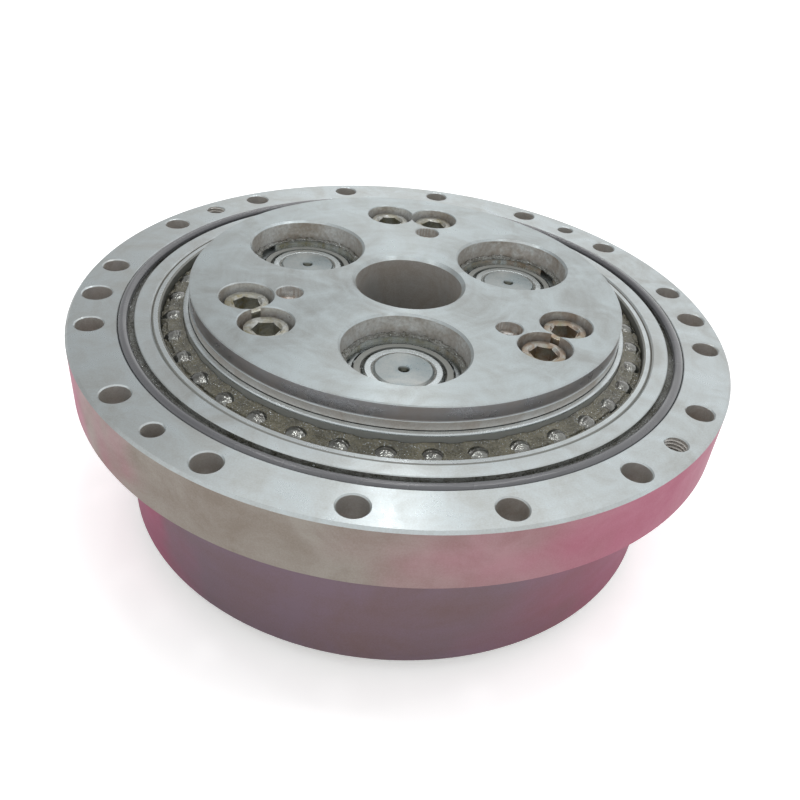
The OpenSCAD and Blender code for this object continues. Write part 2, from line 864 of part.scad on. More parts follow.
case();
ring_pins();
upper_outer_race();
lower_outer_race();
flange_o_ring();
output_seal();
hold_flange();
output_shaft();
carrier_screws();
carrier_pins();
upper_inner_race();
lower_inner_race();
upper_cups();
lower_cups();
cup_circlips();
upper_balls();
upper_ball_cage();
lower_balls();
lower_ball_cage();
upper_disc();
lower_disc();
crankshaft(1);  // crankshaft_1
crankshaft(2);  // crankshaft_2
crankshaft(3);  // crankshaft_3
spur_gear(1);  // spur_gear_1
spur_gear(2);  // spur_gear_2
spur_gear(3);  // spur_gear_3
gear_circlip(1);  // gear_circlip_1
gear_circlip(2);  // gear_circlip_2
gear_circlip(3);  // gear_circlip_3
bearing_cones(1);  // bearing_cones_1
bearing_cones(2);  // bearing_cones_2
bearing_cones(3);  // bearing_cones_3
taper_rollers(1);  // taper_rollers_1
taper_rollers(2);  // taper_rollers_2
taper_rollers(3);  // taper_rollers_3
taper_cages(1);  // taper_cages_1
taper_cages(2);  // taper_cages_2
taper_cages(3);  // taper_cages_3
needle_rollers(1);  // needle_rollers_1
needle_rollers(2);  // needle_rollers_2
needle_rollers(3);  // needle_rollers_3
needle_cages(1);  // needle_cages_1
needle_cages(2);  // needle_cages_2
needle_cages(3);  // needle_cages_3
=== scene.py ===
"""Looks of a two-stage cycloidal reducer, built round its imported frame. Lengths are in metres."""

import json
import math

import bmesh
import bpy
from bpy.props import FloatProperty, FloatVectorProperty, IntProperty, PointerProperty
from mathutils import Matrix, Vector, noise

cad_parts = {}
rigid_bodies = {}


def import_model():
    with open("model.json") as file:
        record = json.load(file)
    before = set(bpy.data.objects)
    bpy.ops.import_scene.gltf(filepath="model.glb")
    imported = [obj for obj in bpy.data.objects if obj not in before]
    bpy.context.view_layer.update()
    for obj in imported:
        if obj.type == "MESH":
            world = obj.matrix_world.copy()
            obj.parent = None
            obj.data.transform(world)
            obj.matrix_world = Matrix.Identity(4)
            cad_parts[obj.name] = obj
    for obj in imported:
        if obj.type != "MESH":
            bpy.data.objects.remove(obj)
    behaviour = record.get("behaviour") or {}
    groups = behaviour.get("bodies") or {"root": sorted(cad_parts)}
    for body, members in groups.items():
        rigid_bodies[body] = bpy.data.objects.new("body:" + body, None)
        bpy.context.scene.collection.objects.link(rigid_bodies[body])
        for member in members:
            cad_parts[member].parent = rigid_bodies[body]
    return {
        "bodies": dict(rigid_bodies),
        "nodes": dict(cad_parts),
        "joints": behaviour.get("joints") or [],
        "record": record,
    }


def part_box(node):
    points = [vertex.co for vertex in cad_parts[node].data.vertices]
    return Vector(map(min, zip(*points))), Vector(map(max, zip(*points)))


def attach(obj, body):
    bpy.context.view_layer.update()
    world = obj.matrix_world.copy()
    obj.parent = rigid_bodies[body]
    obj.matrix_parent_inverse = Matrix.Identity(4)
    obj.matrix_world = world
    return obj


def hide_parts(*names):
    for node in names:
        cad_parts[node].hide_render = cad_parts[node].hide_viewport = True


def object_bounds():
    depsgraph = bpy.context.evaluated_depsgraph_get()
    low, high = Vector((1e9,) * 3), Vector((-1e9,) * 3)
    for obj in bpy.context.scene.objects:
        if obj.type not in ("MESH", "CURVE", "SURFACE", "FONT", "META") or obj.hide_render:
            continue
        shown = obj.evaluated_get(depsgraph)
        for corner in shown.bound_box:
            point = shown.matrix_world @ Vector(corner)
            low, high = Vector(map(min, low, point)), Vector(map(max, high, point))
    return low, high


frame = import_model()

bl_info = {
    "name": "Cycloidal Reducer",
    "version": (1, 0, 0),
    "blender": (4, 5, 0),
    "location": "3D View > Sidebar > Reducer",
    "description": "Machined, oiled and greased pieces for a cycloidal reducer",
    "category": "Object",
}

CAD_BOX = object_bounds()
MM = 0.001


def low(node):
    """Lowest corner of a CAD node."""
    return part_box(node)[0]


def high(node):
    """Highest corner of a CAD node."""
    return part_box(node)[1]


def low_radius(node):
    """Inner radius of a CAD node that goes round the axis."""
    made = frame["nodes"][node]
    return min(ring_radius(made.matrix_world @ vert.co) for vert in made.data.vertices)


def ring_radius(point):
    """Distance of a point from the axis."""
    return math.hypot(point[0], point[1])


def linear(hex_colour):
    """An sRGB hex colour as the linear red, green and blue that the shaders use."""
    parts = [int(hex_colour[i:i + 2], 16) / 255 for i in (1, 3, 5)]
    return [c / 12.92 if c <= 0.04045 else ((c + 0.055) / 1.055) ** 2.4 for c in parts]


# ---- places taken from the frame ----

MOUNTS = {m["name"]: m for m in frame["record"]["mounts"]}
FACE_Z = high("case").z
UNDERSIDE_Z = MOUNTS["flange_back_face"]["pos_m"][2]
CASE_Z = low("case").z
TOP_Z = high("hold_flange").z
FLANGE_R = high("case").x
BARREL_R = MOUNTS["barrel"]["dims"]["r_mm"] * MM
HOLE_CIRCLE_R = MOUNTS["flange_bolts"]["dims"]["pcd_mm"] / 2 * MM
BOLT_COUNT = MOUNTS["flange_bolts"]["dims"]["count"]
BORE_R = MOUNTS["centre_bore"]["dims"]["r_mm"] * MM
PLATE_R = high("hold_flange").x
PLATE_Z = low("hold_flange").z
RACE_TOP_Z = high("upper_inner_race").z
SHOULDER_R = high("upper_inner_race").x
OUTER_RACE_R = high("upper_outer_race").x
BALL_Z = (low("upper_balls").z + high("upper_balls").z) / 2
BALL_R = (high("upper_balls").z - low("upper_balls").z) / 2
BALL_CIRCLE_R = high("upper_balls").x - BALL_R
TRACK_R = BALL_R + 0.04 * MM
LOW_SHOULDER = 0.8 * MM
CRANKS = [n for n in sorted(frame["bodies"]) if n.startswith("crank_")]
CRANK_AXES = {
    joint["child"]: Vector(joint["pos_m"][:2])
    for joint in frame["joints"] if joint["child"] in CRANKS
}
CRANK_CIRCLE_R = CRANK_AXES["crank_1"].length
POST_ANGLES = [math.degrees(math.atan2(p.y, p.x)) + 60 for p in CRANK_AXES.values()]
SCREW_ANGLE = 8.9
SCREW_CIRCLE_R = 70 * MM
PIN_R = 5.5 * MM
PIN_CIRCLE_R = 52.5 * MM
PIN_ANGLES = [a - 8.3 for a in POST_ANGLES]


class ReducerSizes(bpy.types.PropertyGroup):
    """Sizes of the finish that the frame leaves open."""

    steps: IntProperty(name="Steps", description="Steps in a full turn", default=240, min=48)
    flange_chamfer: FloatProperty(
        name="Flange chamfer", description="Chamfer on the flange and the barrel",
        default=1.0 * MM, precision=5, unit="LENGTH")
    edge_break: FloatProperty(
        name="Edge break", description="Small chamfer on every other turned edge",
        default=0.4 * MM, precision=5, unit="LENGTH")
    bore_chamfer: FloatProperty(
        name="Bore chamfer", description="Chamfer at the mouth of the centre bore",
        default=1.5 * MM, precision=5, unit="LENGTH")
    groove_outer: FloatProperty(
        name="Groove radius", description="Outer radius of the ring groove",
        default=120.6 * MM, precision=5, unit="LENGTH")
    groove_width: FloatProperty(
        name="Groove width", description="Width of the ring groove",
        default=6.5 * MM, precision=5, unit="LENGTH")
    groove_depth: FloatProperty(
        name="Groove depth", description="Depth of the ring groove",
        default=3.2 * MM, precision=5, unit="LENGTH")
    race_bore: FloatProperty(
        name="Race bore", description="Radius of the inner race's bore, where the carrier carries it",
        default=88 * MM, precision=5, unit="LENGTH")
    lip_height: FloatProperty(
        name="Lip height", description="Height of the hold flange's lip",
        default=6.3 * MM, precision=5, unit="LENGTH")
    lip_step: FloatProperty(
        name="Lip step", description="Step between the lip and the hold flange's side",
        default=0.5 * MM, precision=5, unit="LENGTH")
    ball_count: IntProperty(
        name="Balls", description="Balls in the main bearing", default=38, min=3)
    ball_start: FloatProperty(
        name="First ball", description="Angle of the main bearing's first ball",
        default=math.radians(-1.4), subtype="ANGLE", unit="ROTATION")
    thread_pitch: FloatProperty(
        name="Thread pitch", description="Pitch of the jacking holes' M10 thread",
        default=1.5 * MM, precision=5, unit="LENGTH")
    grease_lump: FloatProperty(
        name="Grease lumps", description="Height of the lumps of grease in the main bearing",
        default=0.45 * MM, precision=5, unit="LENGTH")


def colour_property(name, description, default):
    """A colour setting, with its default as sRGB hex."""
    return FloatVectorProperty(
        name=name, description=description, default=linear(default), subtype="COLOR", size=3)


class ReducerFinish(bpy.types.PropertyGroup):
    """Colours of the finishes."""

    face: colour_property("Turned face", "Fine turned steel of the flange and plate", "#BFC7C9")
    face_worn: colour_property("Handled face", "The same steel where oil has dulled it", "#ADB0AE")
    plate: colour_property("Plate face", "The hold flange's top, a little duller than the flange", "#B3BCBE")
    plate_worn: colour_property("Handled plate", "The hold flange's top where it is oily", "#A2A6A5")
    rim: colour_property("Flange rim", "Coarser turned edge of the flange", "#AAA39B")
    rim_worn: colour_property("Stained rim", "The edge under old oil", "#9B9187")
    lip: colour_property("Lip side", "Side of the hold flange's lip", "#B6B4B8")
    lip_worn: colour_property("Stained lip side", "The lip's side under old oil", "#ADA5A2")
    # Painted reflection: the barrel's mauve stands in for a pink surround that the barrel reflects.
    barrel: colour_property("Barrel", "Barrel under a thin tinted film", "#8E7B86")
    barrel_worn: colour_property("Stained barrel", "Barrel where the film has browned", "#8B7576")
    # Painted reflection: a rose colour that stands in for a pink surround which the flange's and barrel's
    # sides reflect.
    painted_rose_reflection: colour_property("Blush", "Rose tint of the film where it is thickest", "#C8668C")
    bore: colour_property("Bored wall", "Bored walls under oil", "#D6D5D2")
    bore_worn: colour_property("Stained bore", "Bored walls where the oil has browned", "#BCB5AD")
    pocket: colour_property("Pocket wall", "Pocket walls under brown oil", "#DCDEDD")
    pocket_worn: colour_property("Browned pocket", "Pocket walls where the oil is thick", "#A69C90")
    race: colour_property("Bearing race", "Ground bearing steel", "#C4CBCD")
    race_worn: colour_property("Oiled race", "Ground bearing steel under oil", "#B2B8B8")
    smeared: colour_property("Smeared race", "Race side under a film of grease", "#828480")
    grease: colour_property("Grease", "Old olive grease", "#686451")
    # The thick grease colour also serves as painted shade in the crankshaft's centre holes.
    thick_grease_and_hole_shade: colour_property("Thick grease", "Grease where it has gathered", "#4A483B")
    # Partly painted reflection: darker than greased chrome, standing in for the dark recess round the balls.
    ball: colour_property("Ball", "Chrome steel under a film of grease", "#4C4A46")
    crank: colour_property("Crankshaft", "Ground crankshaft end", "#8C979A")
    screw: colour_property("Screw", "Oiled, blackened screw", "#A9ABA8")
    screw_worn: colour_property("Greasy screw", "Screw under olive grease", "#857E62")
    rust: colour_property("Rust", "Rust on pins and screws", "#86694F")
    rubber: colour_property("O-ring", "Nitrile rubber under a film of dust and oil", "#55565A")
    rubber_clean: colour_property("Clean O-ring", "Black nitrile rubber where it is clean", "#404144")


def sizes():
    """The size settings."""
    return bpy.context.scene.reducer_sizes


def finish():
    """The colour settings."""
    return bpy.context.scene.reducer_finish


# ---- shaping ----


def turned(points, steps=None, rounds=1):
    """A full turn of a closed outline about Z, as a bmesh.

    Each point is (radius, height), with a third number where that corner is broken."""
    bm = bmesh.new()
    verts = [bm.verts.new((p[0], 0, p[1])) for p in points]
    for a, b in zip(verts, verts[1:] + verts[:1]):
        if max(a.co.x, b.co.x) > 0:
            bm.edges.new((a, b))
    breaks = {}
    for vert, point in zip(verts, points):
        if len(point) > 2:
            breaks.setdefault(point[2], []).append(vert)
    for size, corners in breaks.items():
        bmesh.ops.bevel(
            bm, geom=corners, offset=size, offset_type="OFFSET", segments=rounds,
            profile=0.5, affect="VERTICES", material=-1)
    bmesh.ops.spin(
        bm, geom=bm.verts[:] + bm.edges[:], cent=(0, 0, 0), axis=(0, 0, 1), dvec=(0, 0, 0),
        angle=math.tau, steps=steps or sizes().steps, use_merge=True)
    bmesh.ops.remove_doubles(bm, verts=bm.verts, dist=1e-7)
    bmesh.ops.recalc_face_normals(bm, faces=bm.faces)
    return bm


def arc(x, z, radius, start, end, count):
    """Points on an arc, with its angles in degrees."""
    angles = [math.radians(start + (end - start) * i / count) for i in range(count + 1)]
    return [(x + radius * math.cos(a), z + radius * math.sin(a)) for a in angles]


def joined(parts):
    """One bmesh made of several parts. Each part is a bmesh and its place, which is a matrix."""
    result = bmesh.new()
    for bm, place in parts:
        mesh = bpy.data.meshes.new("part")
        bm.to_mesh(mesh)
        mesh.transform(place)
        result.from_mesh(mesh)
        bpy.data.meshes.remove(mesh)
    for bm, _ in parts:
        if bm.is_valid:
            bm.free()
    return result


def copies(bm, places):
    """One bmesh with a copy of another at each place."""
    return joined([(bm, place) for place in places])


def round_the_axis(angles, radius, z=0):
    """Places at angles in degrees on a circle round the axis, each turned with its angle."""
    return [
        Matrix.Rotation(math.radians(a), 4, "Z") @ Matrix.Translation((radius, 0, z))
        for a in angles
    ]


def cut(bm, *cutters):
    """A bmesh with each cutter taken away from it."""
    made = []
    for i, part in enumerate((bm, *cutters)):
        mesh = bpy.data.meshes.new(f"cut_{i}")
        part.to_mesh(mesh)
        part.free()
        made.append(bpy.data.objects.new(mesh.name, mesh))
        bpy.context.scene.collection.objects.link(made[-1])
    for tool in made[1:]:
        modifier = made[0].modifiers.new("cut", "BOOLEAN")
        modifier.operation = "DIFFERENCE"
        modifier.solver = "EXACT"
        modifier.object = tool
    graph = bpy.context.evaluated_depsgraph_get()
    result = bmesh.new()
    result.from_object(made[0], graph)
    for obj in made:
        mesh = obj.data
        bpy.data.objects.remove(obj)
        bpy.data.meshes.remove(mesh)
    return result


def piece(name, bm, body, nodes, materials, zone=None, sharp=28):
    """A finished piece on its body, in place of CAD nodes. zone(centre, normal) picks a face's material."""
    if zone:
        for face in bm.faces:
            face.material_index = zone(face.calc_center_median(), face.normal)
    mesh = bpy.data.meshes.new(name)
    bm.to_mesh(mesh)
    bm.free()
    for material in materials:
        mesh.materials.append(material)
    mesh.shade_smooth()
    mesh.set_sharp_from_angle(angle=math.radians(sharp))
    obj = bpy.data.objects.new(name, mesh)
    bpy.context.scene.collection.objects.link(obj)
    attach(obj, body)
    if nodes:
        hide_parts(*nodes)
    return obj


def lump(point):
    """Height of grease at a point, above or below its level."""
    return sizes().grease_lump * noise.fractal(point / (1.8 * MM), 0.8, 2.0, 4)


def grease_ring(inner, outer, floor_z, level, across, steps):
    """A ring of grease between two radii. level gives its surface's height at a point."""
    surface = [(outer + (inner - outer) * i / across, floor_z + MM) for i in range(across + 1)]
    bm = turned([(inner, floor_z), (outer, floor_z), *surface], steps=steps)
    for vert in bm.verts:
        if vert.co.z > floor_z + 0.5 * MM:
            vert.co.z = level(vert.co)
    return bm


# ---- materials ----


def add(tree, kind, inputs=None, **settings):
    """Adds a shader node with its own settings. An input is a value or another node's socket."""
    node = tree.nodes.new("ShaderNode" + kind)
    for key, value in settings.items():
        setattr(node, key, value)
    for key, value in (inputs or {}).items():
        if isinstance(value, bpy.types.NodeSocket):
            tree.links.new(value, node.inputs[key])
        else:
            node.inputs[key].default_value = value
    return node


def rgba(colour):
    """A colour with full opacity, for a colour socket."""
    return (*colour, 1)


def blank(name, centre=(0, 0)):
    """A new material, its node tree and shader, and the socket for a point's place in mm from a centre."""
    material = bpy.data.materials.new(name)
    material.use_nodes = True
    tree = material.node_tree
    place = add(tree, "TexCoord").outputs["Object"]
    moved = add(tree, "VectorMath", {0: place, 1: (*centre, 0)}, operation="SUBTRACT").outputs[0]
    mm = add(tree, "VectorMath", {0: moved, "Scale": 1 / MM}, operation="SCALE").outputs[0]
    return material, tree, tree.nodes["Principled BSDF"], mm


def steel(name, colour, worn, roughness, anisotropy=0.0, line=0.4, depth=0.004, centre=(0, 0),
          smear=18.0, grain=0.6, spread=0.12, coat=0.0, tint=None, specks=0.0, metal=1.0, bored=False):
    """Turned or ground steel.

    line, smear and grain are the sizes of its tool lines, oil smears and grain in mm, depth is how deep its
    lines are in mm, and centre is the axis that it was turned about in metres. specks is how dark its drops of
    old oil are, and tint changes its colour by place. metal is less where a film hides the metal, and a bored
    wall has its lines by height alone."""
    material, tree, shader, mm = blank(name, centre)
    flat = add(tree, "VectorMath", {0: mm, 1: (1, 1, 0)}, operation="MULTIPLY").outputs[0]
    radius = add(tree, "VectorMath", {0: flat}, operation="LENGTH").outputs["Value"]
    height = add(tree, "SeparateXYZ", {0: mm}).outputs["Z"]
    along = height if bored else add(tree, "Math", {0: radius, 1: height}, operation="ADD").outputs[0]
    lines = add(tree, "TexNoise", {"W": along, "Scale": 1 / line, "Detail": 3.0, "Roughness": 0.7},
                noise_dimensions="1D").outputs[0]
    rings = add(tree, "TexNoise", {"W": along, "Scale": 0.12 / line, "Detail": 2.0},
                noise_dimensions="1D").outputs[0]
    smears = add(tree, "TexNoise", {"Vector": mm, "Scale": 1 / smear, "Detail": 5.0, "Roughness": 0.62,
                                    "Distortion": 0.8}).outputs[0]
    grains = add(tree, "TexNoise", {"Vector": mm, "Scale": 1 / grain, "Detail": 2.0}).outputs[0]
    banded = add(tree, "Mix", {0: 0.14, 2: smears, 3: rings}).outputs[0]
    toned = add(tree, "Mix", {0: 0.22, 2: banded, 3: grains}).outputs[0]
    wear = add(tree, "MapRange", {0: toned, 1: 0.4, 2: 0.62}).outputs[0]
    base = add(tree, "Mix", {0: wear, 6: rgba(colour), 7: rgba(worn)}, data_type="RGBA").outputs[2]
    if specks:
        drops = add(tree, "TexNoise", {"Vector": mm, "Scale": 0.8, "Detail": 4.0,
                                       "Roughness": 0.75}).outputs[0]
        dark = add(tree, "MapRange", {0: drops, 1: 0.5, 2: 0.6, 4: specks}).outputs[0]
        base = add(tree, "Mix", {0: dark, 6: base, 7: rgba(finish().smeared)}, data_type="RGBA").outputs[2]
    if tint:
        base = tint(tree, mm, base)
    rough = add(tree, "MapRange", {0: toned, 1: 0.3, 2: 0.7, 3: roughness - spread, 4: roughness + spread})
    relief = add(tree, "Mix", {0: 0.5, 2: lines, 3: grains}).outputs[0]
    bump = add(tree, "Bump", {"Height": relief, "Distance": depth * MM, "Strength": 1.0}).outputs[0]
    around = add(tree, "VectorMath", {0: (0, 0, 1), 1: flat}, operation="CROSS_PRODUCT").outputs[0]
    tangent = add(tree, "VectorTransform", {0: around}, vector_type="VECTOR",
                  convert_from="OBJECT", convert_to="WORLD").outputs[0]
    tree.links.new(base, shader.inputs["Base Color"])
    tree.links.new(rough.outputs[0], shader.inputs["Roughness"])
    tree.links.new(bump, shader.inputs["Normal"])
    tree.links.new(bump, shader.inputs["Coat Normal"])
    tree.links.new(tangent, shader.inputs["Tangent"])
    shader.inputs["Metallic"].default_value = metal
    shader.inputs["Anisotropic"].default_value = anisotropy
    shader.inputs["Anisotropic Rotation"].default_value = 0.25
    shader.inputs["Coat Weight"].default_value = coat
    shader.inputs["Coat Roughness"].default_value = 0.08
    return material


def turned_face_steel():
    """Fine turned steel: satin, with light that fans out from the axis and faint rings."""
    f = finish()
    return steel("fine_turned_steel", f.face, f.face_worn, 0.34, anisotropy=0.7, line=0.45, depth=0.0035)


def plate_steel():
    """The hold flange's top: as finely turned as the flange, and handled more."""
    f = finish()
    return steel("handled_turned_steel", f.plate, f.plate_worn, 0.36, anisotropy=0.7, line=0.45, depth=0.0035)


def painted_rose_reflection(start, end, right, left):
    """The painted rose reflection on the sides, as a tint: it stands in for a pink surround that the sides
    reflect.

    It starts and is full at two shares of the way out to the right, and right and left are its amounts at the
    right and at the far left."""
    left_start, left_end = -0.5, -0.8

    def tint(tree, mm, base):
        way = add(tree, "VectorMath", {0: mm}, operation="NORMALIZE").outputs[0]
        across = add(tree, "SeparateXYZ", {0: way}).outputs["X"]
        clouds = add(tree, "TexNoise", {"Vector": mm, "Scale": 1 / 45, "Detail": 3.0}).outputs[0]
        cloudy = add(tree, "MapRange", {0: clouds, 1: 0.3, 2: 0.7, 3: -0.12, 4: 0.12}).outputs[0]
        place = add(tree, "Math", {0: across, 1: cloudy}, operation="ADD").outputs[0]
        sides = [
            add(tree, "MapRange", {0: place, 1: first, 2: last, 4: amount},
                interpolation_type="SMOOTHSTEP").outputs[0]
            for first, last, amount in ((start, end, right), (left_start, left_end, left))
        ]
        # film is the share of painted rose reflection at each place.
        film = add(tree, "Math", {0: sides[0], 1: sides[1]}, operation="ADD").outputs[0]
        return add(tree, "Mix", {0: film, 6: base, 7: rgba(finish().painted_rose_reflection)}, data_type="RGBA").outputs[2]
    return tint


def rim_steel():
    """The flange's edge, turned coarser and stained by oil: duller and warmer than the face, with a painted
    rose reflection towards its right and far left.
    """
    f = finish()
    return steel("coarse_turned_steel", f.rim, f.rim_worn, 0.5, anisotropy=0.3, line=0.9, depth=0.006,
                 smear=30.0, tint=painted_rose_reflection(-0.05, 0.6, 0.68, 0.7))


def lip_steel():
    """The hold flange's side: smooth, dull and a little brown."""
    f = finish()
    return steel("smooth_turned_steel", f.lip, f.lip_worn, 0.3, anisotropy=0.4, line=0.6, depth=0.002,
                 smear=30.0, grain=4.0)


def barrel_steel():
    """The barrel: a dull mauve, rose at its right and far left, with faint clouds; the mauve and the rose are
    painted reflection of a pink surround.
    """
    f = finish()
    return steel("film_coated_steel", f.barrel, f.barrel_worn, 0.5, line=1.4, depth=0.003, smear=60.0,
                 tint=painted_rose_reflection(0.35, 0.95, 0.5, 0.6))


def bored_steel():
    """Drilled and bored walls: grey, oily and finely ringed."""
    f = finish()
    return steel("bored_steel", f.bore, f.bore_worn, 0.5, line=0.5, depth=0.006, metal=0.85, bored=True)


def pocket_steel():
    """Walls of pockets and counterbores: grey under brown oil, browner to the right, with wet glints."""
    f = finish()
    return steel("oiled_pocket_steel", f.pocket, f.pocket_worn, 0.36, line=1.2, depth=0.02, smear=26.0,
                 grain=1.4, coat=0.5, specks=0.25, tint=rusting(0.3, 0.5), metal=0.5, bored=True)


def race_steel():
    """Ground bearing steel: smoother than the turned steel, with an oily shine."""
    f = finish()
    return steel("ground_race_steel", f.race, f.race_worn, 0.28, anisotropy=0.5, line=0.3,
                 depth=0.0015, smear=9.0, coat=0.3)


def smeared_steel():
    """Race sides under a thin even film of grease: dark and smooth."""
    f = finish()
    return steel("smeared_race_steel", f.smeared, f.smeared, 0.45, line=0.8, depth=0.002, smear=12.0, coat=0.3,
                 metal=0.3)


def olive_grease():
    """Old grease between the balls: dark olive, wet and lumpy, so that it glints in points, partly through
    painted glints of bright metallic flecks.
    """
    return grease("old_olive_grease", finish().grease, finish().thick_grease_and_hole_shade)


def wet_grease_and_groove_shade():
    """Oil run into the grease of the pockets, and painted shade in the ring's groove: nearly black, with small
    bright glints, some of them painted as metallic flecks.
    """
    return grease("wet_dark_grease", finish().smeared, finish().thick_grease_and_hole_shade)


def grease(name, colour, thick_colour):
    """Grease in lumps, with a wet skin that follows them, and painted glints: bright metallic flecks of race
    steel scattered by noise.
    """
    material, tree, shader, mm = blank(name)
    heaps = add(tree, "TexNoise", {"Vector": mm, "Scale": 1 / 6, "Detail": 4.0}).outputs[0]
    crumbs = add(tree, "TexNoise", {"Vector": mm, "Scale": 1.1, "Detail": 4.0, "Roughness": 0.7}).outputs[0]
    toned = add(tree, "Mix", {0: 0.5, 2: heaps, 3: crumbs}).outputs[0]
    thick = add(tree, "MapRange", {0: toned, 1: 0.42, 2: 0.6}).outputs[0]
    base = add(tree, "Mix", {0: thick, 6: rgba(colour), 7: rgba(thick_colour)}, data_type="RGBA").outputs[2]
    # Painted glints: noise picks bright metallic flecks of the race's colour that stand in for wet glints.
    drops = add(tree, "TexNoise", {"Vector": mm, "Scale": 1.9, "Detail": 2.0}).outputs[0]
    shine = add(tree, "MapRange", {0: drops, 1: 0.63, 2: 0.68}).outputs[0]
    base = add(tree, "Mix", {0: shine, 6: base, 7: rgba(finish().race)}, data_type="RGBA").outputs[2]
    bump = add(tree, "Bump", {"Height": crumbs, "Distance": 0.9 * MM}).outputs[0]
    tree.links.new(base, shader.inputs["Base Color"])
    tree.links.new(shine, shader.inputs["Metallic"])
    tree.links.new(bump, shader.inputs["Normal"])
    tree.links.new(bump, shader.inputs["Coat Normal"])
    shader.inputs["Roughness"].default_value = 0.16
    shader.inputs["Coat Weight"].default_value = 0.8
    shader.inputs["Coat Roughness"].default_value = 0.06
    return material


def ball_steel():
    """Chrome steel balls under a smear of grease, which breaks each lamp's reflection up; their dark colour is
    partly that grease and partly painted, standing in for the dark recess that they reflect.
    """
    f = finish()
    return steel("greased_ball_steel", f.ball, f.smeared, 0.1, line=3.0, depth=0.7, smear=3.0,
                 grain=1.9, spread=0.04, coat=0.8)


def roller_steel():
    """Ground rollers, wet with oil."""
    f = finish()
    return steel("ground_roller_steel", f.race, f.smeared, 0.2, line=2.0, depth=0.02, smear=3.0,
                 grain=1.6, coat=0.6)


def crank_steel(name, centre):
    """A ground crankshaft end, with rings about its own axis and painted shade darkening its centre hole."""
    f = finish()

    def oiled(tree, mm, base):
        flat = add(tree, "VectorMath", {0: mm, 1: (1, 1, 0)}, operation="MULTIPLY").outputs[0]
        away = add(tree, "VectorMath", {0: flat}, operation="LENGTH").outputs["Value"]
        # Painted shade: the colour darkens towards the centre hole.
        hole = add(tree, "MapRange", {0: away, 1: 2.3, 2: 1.9, 4: 0.85}).outputs[0]
        return add(tree, "Mix", {0: hole, 6: base, 7: rgba(f.thick_grease_and_hole_shade)}, data_type="RGBA").outputs[2]

    return steel(name, f.crank, f.face_worn, 0.34, anisotropy=0.4, line=0.4, depth=0.002, centre=centre,
                 tint=oiled)


def rusting(amount, speckle):
    """Rust as a tint, on the carrier's right. amount is how much there is and speckle how broken it is."""
    def tint(tree, mm, base):
        across = add(tree, "SeparateXYZ", {0: mm}).outputs["X"]
        side = add(tree, "MapRange", {0: across, 1: 5.0, 2: 45.0}).outputs[0]
        spots = add(tree, "TexNoise", {"Vector": mm, "Scale": 0.25, "Detail": 4.0}).outputs[0]
        broken = add(tree, "MapRange", {0: spots, 1: 0.5 - speckle / 5, 2: 0.55, 4: amount}).outputs[0]
        share = add(tree, "Math", {0: side, 1: broken}, operation="MULTIPLY").outputs[0]
        return add(tree, "Mix", {0: share, 6: base, 7: rgba(finish().rust)}, data_type="RGBA").outputs[2]
    return tint


def screw_steel():
    """Blackened screws, with patches of olive grease, dark drops of old oil, and rust towards the carrier's
    right.
    """
    f = finish()
    return steel("blackened_screw_steel", f.screw, f.screw_worn, 0.34, line=0.9, depth=0.12, smear=6.0,
                 grain=1.2, coat=0.6, specks=0.6, tint=rusting(0.6, 0.5), metal=0.8)


def pin_steel():
    """Pins under dried brown oil, with drops of it."""
    f = finish()
    return steel("stained_pin_steel", f.pocket, f.rust, 0.4, line=0.4, depth=0.04, smear=4.0, grain=0.9,
                 coat=0.4, specks=0.7)


def rubber():
    """Moulded nitrile rubber: black, with a soft, slightly oily shine."""
    f = finish()
    material, tree, shader, mm = blank("moulded_nitrile_rubber")
    dust = add(tree, "TexNoise", {"Vector": mm, "Scale": 1 / 14, "Detail": 4.0}).outputs[0]
    skin = add(tree, "TexNoise", {"Vector": mm, "Scale": 1 / 0.5, "Detail": 2.0}).outputs[0]
    base = add(tree, "Mix", {0: dust, 6: rgba(f.rubber), 7: rgba(f.rubber_clean)}, data_type="RGBA").outputs[2]
    rough = add(tree, "MapRange", {0: dust, 1: 0.3, 2: 0.7, 3: 0.18, 4: 0.4}).outputs[0]
    bump = add(tree, "Bump", {"Height": skin, "Distance": 0.01 * MM}).outputs[0]
    tree.links.new(base, shader.inputs["Base Color"])
    tree.links.new(rough, shader.inputs["Roughness"])
    tree.links.new(bump, shader.inputs["Normal"])
    shader.inputs["Coat Weight"].default_value = 0.9
    shader.inputs["Coat Roughness"].default_value = 0.2
    return material


SHARED = {}


def once(builder, *args):
    """A material that is made on first use and then shared."""
    key = (builder.__name__, *[str(a) for a in args])
    if key not in SHARED:
        SHARED[key] = builder(*args)
    return SHARED[key]


# ---- pieces ----


